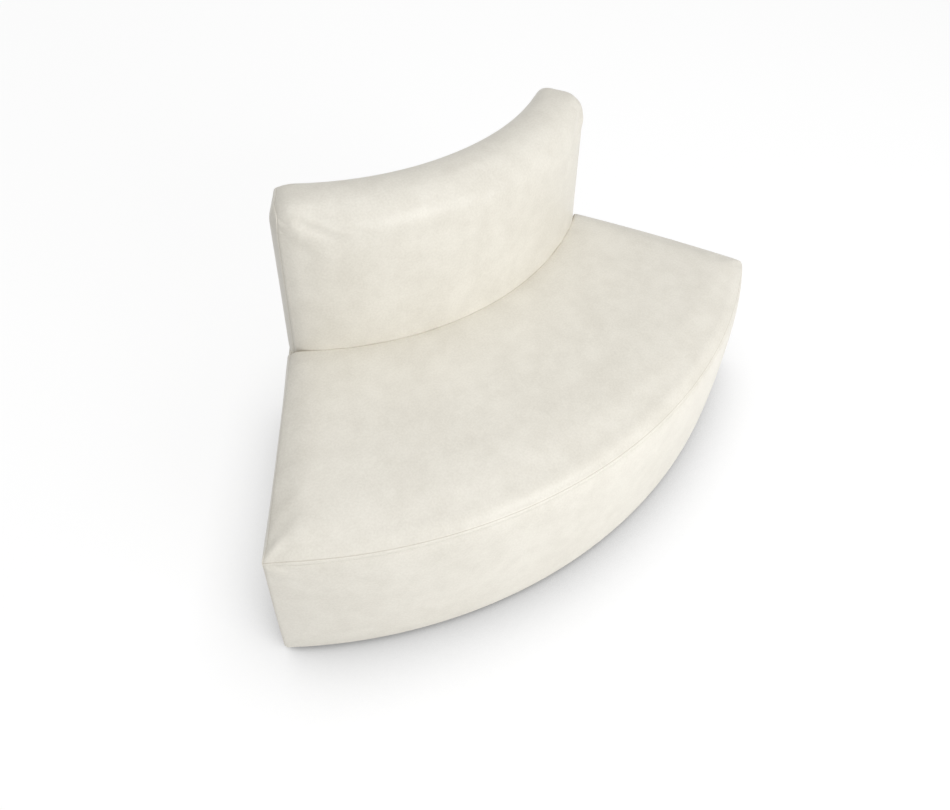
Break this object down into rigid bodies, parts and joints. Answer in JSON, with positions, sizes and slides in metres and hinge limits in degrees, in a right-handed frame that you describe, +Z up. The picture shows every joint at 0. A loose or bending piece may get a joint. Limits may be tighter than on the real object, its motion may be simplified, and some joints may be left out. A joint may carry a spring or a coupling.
{
  "type": "curved modular sofa unit",
  "caption": "Curved seat module with a convex front: a sector-shaped padded base carrying a bullnose backrest on its inner arc, upholstered in ivory leatherette, standing on low screw glides.",
  "frame": {"origin": "on the floor, in the middle of the module's box", "axes": "+Z up, -Y the convex front that the sitter faces, +X to the right as seen from the front"},
  "size_m": [1.6064, 0.8399, 0.798],
  "materials": {
    "ivory_leatherette": "satin",
    "black_lining": "matte",
    "black_nylon": "matte",
    "zinc_steel": "zinc plated",
    "webbing": "woven",
    "foam": "matte",
    "wadding": "matte",
    "hardwood": "raw",
    "plywood": "raw"
  },
  "bodies": {
    "base": {"backrest_bottom_rail": "hardwood", "backrest_cover_front": "ivory_leatherette", "backrest_cover_left": "ivory_leatherette", "backrest_cover_rear": "ivory_leatherette", "backrest_cover_right": "ivory_leatherette", "backrest_deck": "plywood", "backrest_end_left": "plywood", "backrest_end_padding_left": "wadding", "backrest_end_padding_right": "wadding", "backrest_end_right": "plywood", "backrest_foam": "foam", "backrest_front_skin": "plywood", "backrest_rear_padding": "wadding", "backrest_rear_skin": "plywood", "backrest_screws": "zinc_steel", "backrest_stud_centre": "plywood", "backrest_stud_left": "plywood", "backrest_stud_right": "plywood", "backrest_top_rail": "hardwood", "base_end_left": "plywood", "base_end_right": "plywood", "base_front_panel": "plywood", "base_rear_panel": "plywood", "base_riser": "plywood", "deck_rib_centre": "plywood", "deck_rib_left": "plywood", "deck_rib_right": "plywood", "dust_cover": "black_lining", "end_padding_left": "wadding", "end_padding_right": "wadding", "foot_blocks": "hardwood", "front_padding": "wadding", "glide_nuts": "zinc_steel", "rear_padding": "wadding", "seat_cover_front": "ivory_leatherette", "seat_cover_left": "ivory_leatherette", "seat_cover_rear": "ivory_leatherette", "seat_cover_right": "ivory_leatherette", "seat_cover_top": "ivory_leatherette", "seat_foam": "foam", "seat_rib_centre": "plywood", "seat_rib_left": "plywood", "seat_rib_right": "plywood", "webbing_rail_front": "hardwood", "webbing_rail_rear": "hardwood", "webbing_straps": "webbing"},
    "glide_pad_front_left": {"glide_pad_front_left": "black_nylon"},
    "glide_stem_front_left": {"glide_stem_front_left": "zinc_steel"},
    "glide_pad_front_middle": {"glide_pad_front_middle": "black_nylon"},
    "glide_stem_front_middle": {"glide_stem_front_middle": "zinc_steel"},
    "glide_pad_front_right": {"glide_pad_front_right": "black_nylon"},
    "glide_stem_front_right": {"glide_stem_front_right": "zinc_steel"},
    "glide_pad_rear_left": {"glide_pad_rear_left": "black_nylon"},
    "glide_stem_rear_left": {"glide_stem_rear_left": "zinc_steel"},
    "glide_pad_rear_right": {"glide_pad_rear_right": "black_nylon"},
    "glide_stem_rear_right": {"glide_stem_rear_right": "zinc_steel"}
  },
  "joints": [
    {"name": "glide_level_front_left", "type": "slide", "parent": "base", "child": "glide_pad_front_left", "axis": [0, 0, -1], "range_m": [0, 0.01]},
    {"name": "glide_turn_front_left", "type": "hinge", "parent": "glide_pad_front_left", "child": "glide_stem_front_left", "pos_m": [-0.7125, -0.13105, 0], "axis": [0, 0, -1], "range_deg": [0, 2881]},
    {"name": "glide_level_front_middle", "type": "slide", "parent": "base", "child": "glide_pad_front_middle", "axis": [0, 0, -1], "range_m": [0, 0.01]},
    {"name": "glide_turn_front_middle", "type": "hinge", "parent": "glide_pad_front_middle", "child": "glide_stem_front_middle", "pos_m": [0, -0.34444, 0], "axis": [0, 0, -1], "range_deg": [0, 2881]},
    {"name": "glide_level_front_right", "type": "slide", "parent": "base", "child": "glide_pad_front_right", "axis": [0, 0, -1], "range_m": [0, 0.01]},
    {"name": "glide_turn_front_right", "type": "hinge", "parent": "glide_pad_front_right", "child": "glide_stem_front_right", "pos_m": [0.7125, -0.13105, 0], "axis": [0, 0, -1], "range_deg": [0, 2881]},
    {"name": "glide_level_rear_left", "type": "slide", "parent": "base", "child": "glide_pad_rear_left", "axis": [0, 0, -1], "range_m": [0, 0.01]},
    {"name": "glide_turn_rear_left", "type": "hinge", "parent": "glide_pad_rear_left", "child": "glide_stem_rear_left", "pos_m": [-0.37258, 0.34628, 0], "axis": [0, 0, -1], "range_deg": [0, 2881]},
    {"name": "glide_level_rear_right", "type": "slide", "parent": "base", "child": "glide_pad_rear_right", "axis": [0, 0, -1], "range_m": [0, 0.01]},
    {"name": "glide_turn_rear_right", "type": "hinge", "parent": "glide_pad_rear_right", "child": "glide_stem_rear_right", "pos_m": [0.37258, 0.34628, 0], "axis": [0, 0, -1], "range_deg": [0, 2881]}
  ],
  "couplings": [
    {"joint": "glide_turn_front_left", "follows": "glide_level_front_left", "rad_per_m": 5026.5},
    {"joint": "glide_turn_front_middle", "follows": "glide_level_front_middle", "rad_per_m": 5026.5},
    {"joint": "glide_turn_front_right", "follows": "glide_level_front_right", "rad_per_m": 5026.5},
    {"joint": "glide_turn_rear_left", "follows": "glide_level_rear_left", "rad_per_m": 5026.5},
    {"joint": "glide_turn_rear_right", "follows": "glide_level_rear_right", "rad_per_m": 5026.5}
  ]
}
